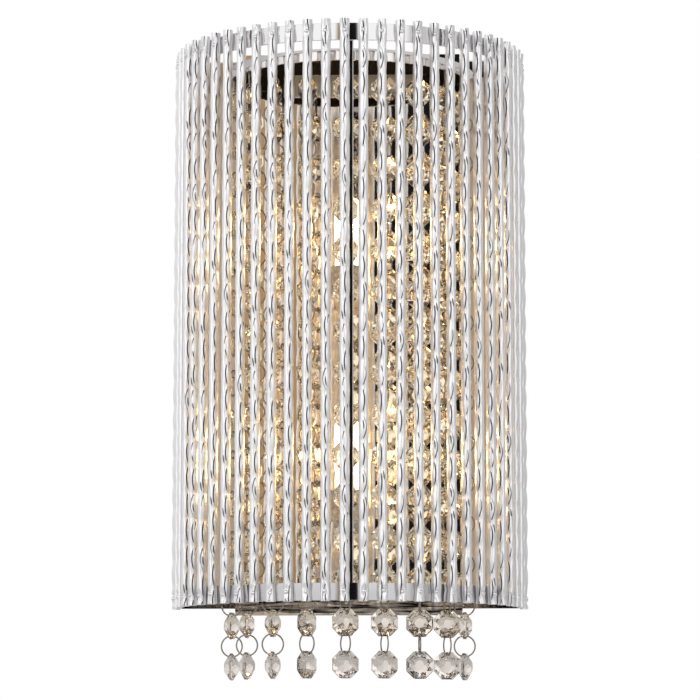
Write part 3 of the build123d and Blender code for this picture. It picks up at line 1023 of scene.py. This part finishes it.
def hardware(steel):
    """Everything of sheet, ceramic and plastic, with eased edges."""
    band = sheet_chrome("band_chrome", (0.73, 0.725, 0.735), 0.035, 0.25 * MM)
    # the bottom band: the top band's chrome painted darker, as painted shade
    shaded_band = sheet_chrome("shaded_band_chrome", (0.57, 0.56, 0.565), 0.045, 0.4 * MM)
    shade_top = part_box("bottom_band")[0].z + BAND_HALF
    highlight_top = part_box("mirror_plate")[0].z + PLATE_HIGHLIGHT
    # the plate's warm tan tint is painted warm lamplight
    plate = sheet_chrome(
        "mirror_plate_chrome", (0.94, 0.875, 0.79), 0.02, 0.12 * MM, shade_top, highlight_top
    )
    shelf = sheet_chrome("hanger_chrome", (0.76, 0.74, 0.73), 0.04, 0.15 * MM)
    box = sheet_chrome("box_chrome", (0.86, 0.86, 0.87), 0.08, 0.2 * MM)
    softened("top_band", "top_band_strip", 0.18 * MM, band)
    softened("bottom_band", "bottom_band_strip", 0.18 * MM, shaded_band)
    softened("centre_strut", "centre_strut_strip", 0.45 * MM, band)
    softened("mirror_plate", "mirror_plate_sheet", 0.3 * MM, plate)
    hanger = softened("strand_hanger", "strand_hanger_shelf", 0.2 * MM, shelf)
    paint_hanger(hanger)
    softened("wall_box", "wall_box_tray", 0.25 * MM, box)
    softened("wall_bracket", "wall_bracket_strap", 0.25 * MM, zinc_steel())
    softened("terminal_block", "terminal_block_body", 0.35 * MM, moulded_plastic())
    softened("lampholders", "lampholder_bodies", 0.35 * MM, glazed_ceramic())
    softened("fixing_screws", "fixing_screw_set", 0.3 * MM, steel)


# ---------------------------------------------------------------- studio
def grey(level):
    return (level, level, level)


def studio_air():
    """White behind the object, and round it tall soft panels, dark gaps and a dark front card."""
    world = bpy.data.worlds.new("studio_air")
    bpy.context.scene.world = world
    air = Nodes(world)
    across, depth, rise = air.split(air.node("ShaderNodeTexCoord", output="Generated"))
    azimuth = across.maths("ARCTAN2", across, depth * -1.0) / (2 * pi) + 0.5
    tan = (0.42, 0.30, 0.19)
    panels = (  # degrees round from the front, and the light that comes from there
        (-180, grey(1.1)), (-150, grey(0.84)), (-95, grey(0.84)), (-92, grey(0.10)),
        (-90, grey(0.10)), (-87, grey(1.05)), (-76, grey(1.05)), (-73.5, grey(0.08)),
        (-70, grey(0.08)), (-67, grey(1.0)), (-52, grey(1.15)), (-46, grey(1.28)),
        (-7.5, grey(1.28)), (-6.5, tan), (-2.7, tan), (-2.3, grey(0.01)), (6.5, grey(0.01)),
        (7.5, grey(1.28)), (40, grey(1.25)), (44, grey(0.76)), (63, grey(0.74)), (66, grey(0.1)),
        (71, grey(0.08)), (74, grey(0.75)), (89, grey(0.6)), (92, grey(0.10)), (95, grey(0.10)),
        (98, grey(0.58)), (150, grey(0.62)), (180, grey(1.0)),
    )
    heights = (  # from straight down at 0 to straight up at 1, and how much of it is left there
        (0, grey(0.25)), (0.28, grey(0.3)), (0.38, grey(0.78)), (0.52, grey(0.80)),
        (0.54, grey(1.0)), (0.80, grey(1.0)), (0.90, grey(0.4)), (1.0, grey(0.4)),
    )
    round_stops = [((angle + 180) / 360, colour) for angle, colour in panels]
    panorama = air.node("ShaderNodeValToRGB", {"stops": round_stops}, {"Fac": azimuth})
    storeys = air.node("ShaderNodeValToRGB", {"stops": heights}, {"Fac": rise * 0.5 + 0.5})
    room = air.node(
        "ShaderNodeMix", {"data_type": "RGBA", "blend_type": "MULTIPLY"},
        {"Factor": 1.0, 6: panorama, 7: storeys}, output=2,
    )
    seen = air.node("ShaderNodeLightPath", output="Is Camera Ray")
    colour = air.mixed(seen, room, grey(1.0))
    background = air.node("ShaderNodeBackground", {}, {"Color": colour, "Strength": 1.0})
    output = air.tree.nodes.new("ShaderNodeOutputWorld")
    air.feed(output.inputs["Surface"], background)


def floor():
    """A pale floor well below the sconce."""
    ground = begin("plane", "floor", size=6, location=(0, 0, FLOOR_Z))
    finish = Finish("pale_floor", Metallic=0.0, Roughness=0.8)
    finish.set(Base_Color=finish.mixed(finish.noise(0.4, 2.0), grey(0.93), grey(0.97)))
    dress(ground, finish.material)


def lamplit_wall():
    """Matt paint on the side that faces the room, tinted warm tan as painted lamplight, and nothing
    on the other.
    """
    finish = Finish("lamplit_wall", Metallic=0.0, Roughness=0.75)
    tone = finish.noise(0.05, 3.0)
    # warm tan colour: painted lamplight from the bulbs on the wall
    finish.set(Base_Color=finish.mixed(tone, (0.97, 0.83, 0.68), (0.98, 0.88, 0.76)))
    clear = finish.node("ShaderNodeBsdfTransparent")
    behind = finish.node("ShaderNodeNewGeometry", output="Backfacing")
    paint = Value(finish, finish.surface.outputs[0])
    shown = finish.node("ShaderNodeMixShader", {}, {0: behind, 1: paint, 2: clear})
    finish.feed(finish.output.inputs["Surface"], shown)
    return finish.material


def wall_strips():
    """The strips of painted wall that show between the side rods."""
    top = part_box("rod_01")[1].z
    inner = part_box("wall_box")[1].x + WALL_MARGIN
    strips = begin(
        "plane", "wall_strips", size=1, location=(0, WALL_GAP, WALL_RISE), rotation=(pi / 2, 0, 0)
    )
    strips.scale = (2 * WALL_HALF_WIDTH, 2 * (top - WALL_RISE), 1)
    settle(strips)
    with Editing(strips) as edit:
        for x in (-inner, inner):
            bpy.ops.mesh.select_all(action="SELECT")
            bpy.ops.mesh.bisect(plane_co=(x, 0, 0), plane_no=(1, 0, 0))
        edit.pick(lambda spot, normal: abs(spot.x) < inner, "FACE")
        bpy.ops.mesh.delete(type="FACE")
    dress(strips, lamplit_wall())


def camera():
    """The photograph's view: a long lens, a little to the right and from below."""
    data = bpy.data.cameras.new("camera")
    data.lens = CAMERA_LENS
    data.sensor_width = 36
    view = bpy.data.objects.new("camera", data)
    view.location = CAMERA_PLACE
    view.rotation_euler = (radians(90 + CAMERA_TILT), 0, radians(CAMERA_TURN))
    bpy.context.scene.collection.objects.link(view)
    bpy.context.scene.camera = view


camera()
studio_air()
floor()
wall_strips()
rods(crimped_aluminium(), fold_shade())
rivets(rivet_aluminium())
steel = screw_steel()
hardware(steel)
strands(cut_crystal(), link_nickel())
bulbs(bulb_glass(), glowing_filament(), steel)
bpy.context.scene.view_settings.view_transform = "Standard"
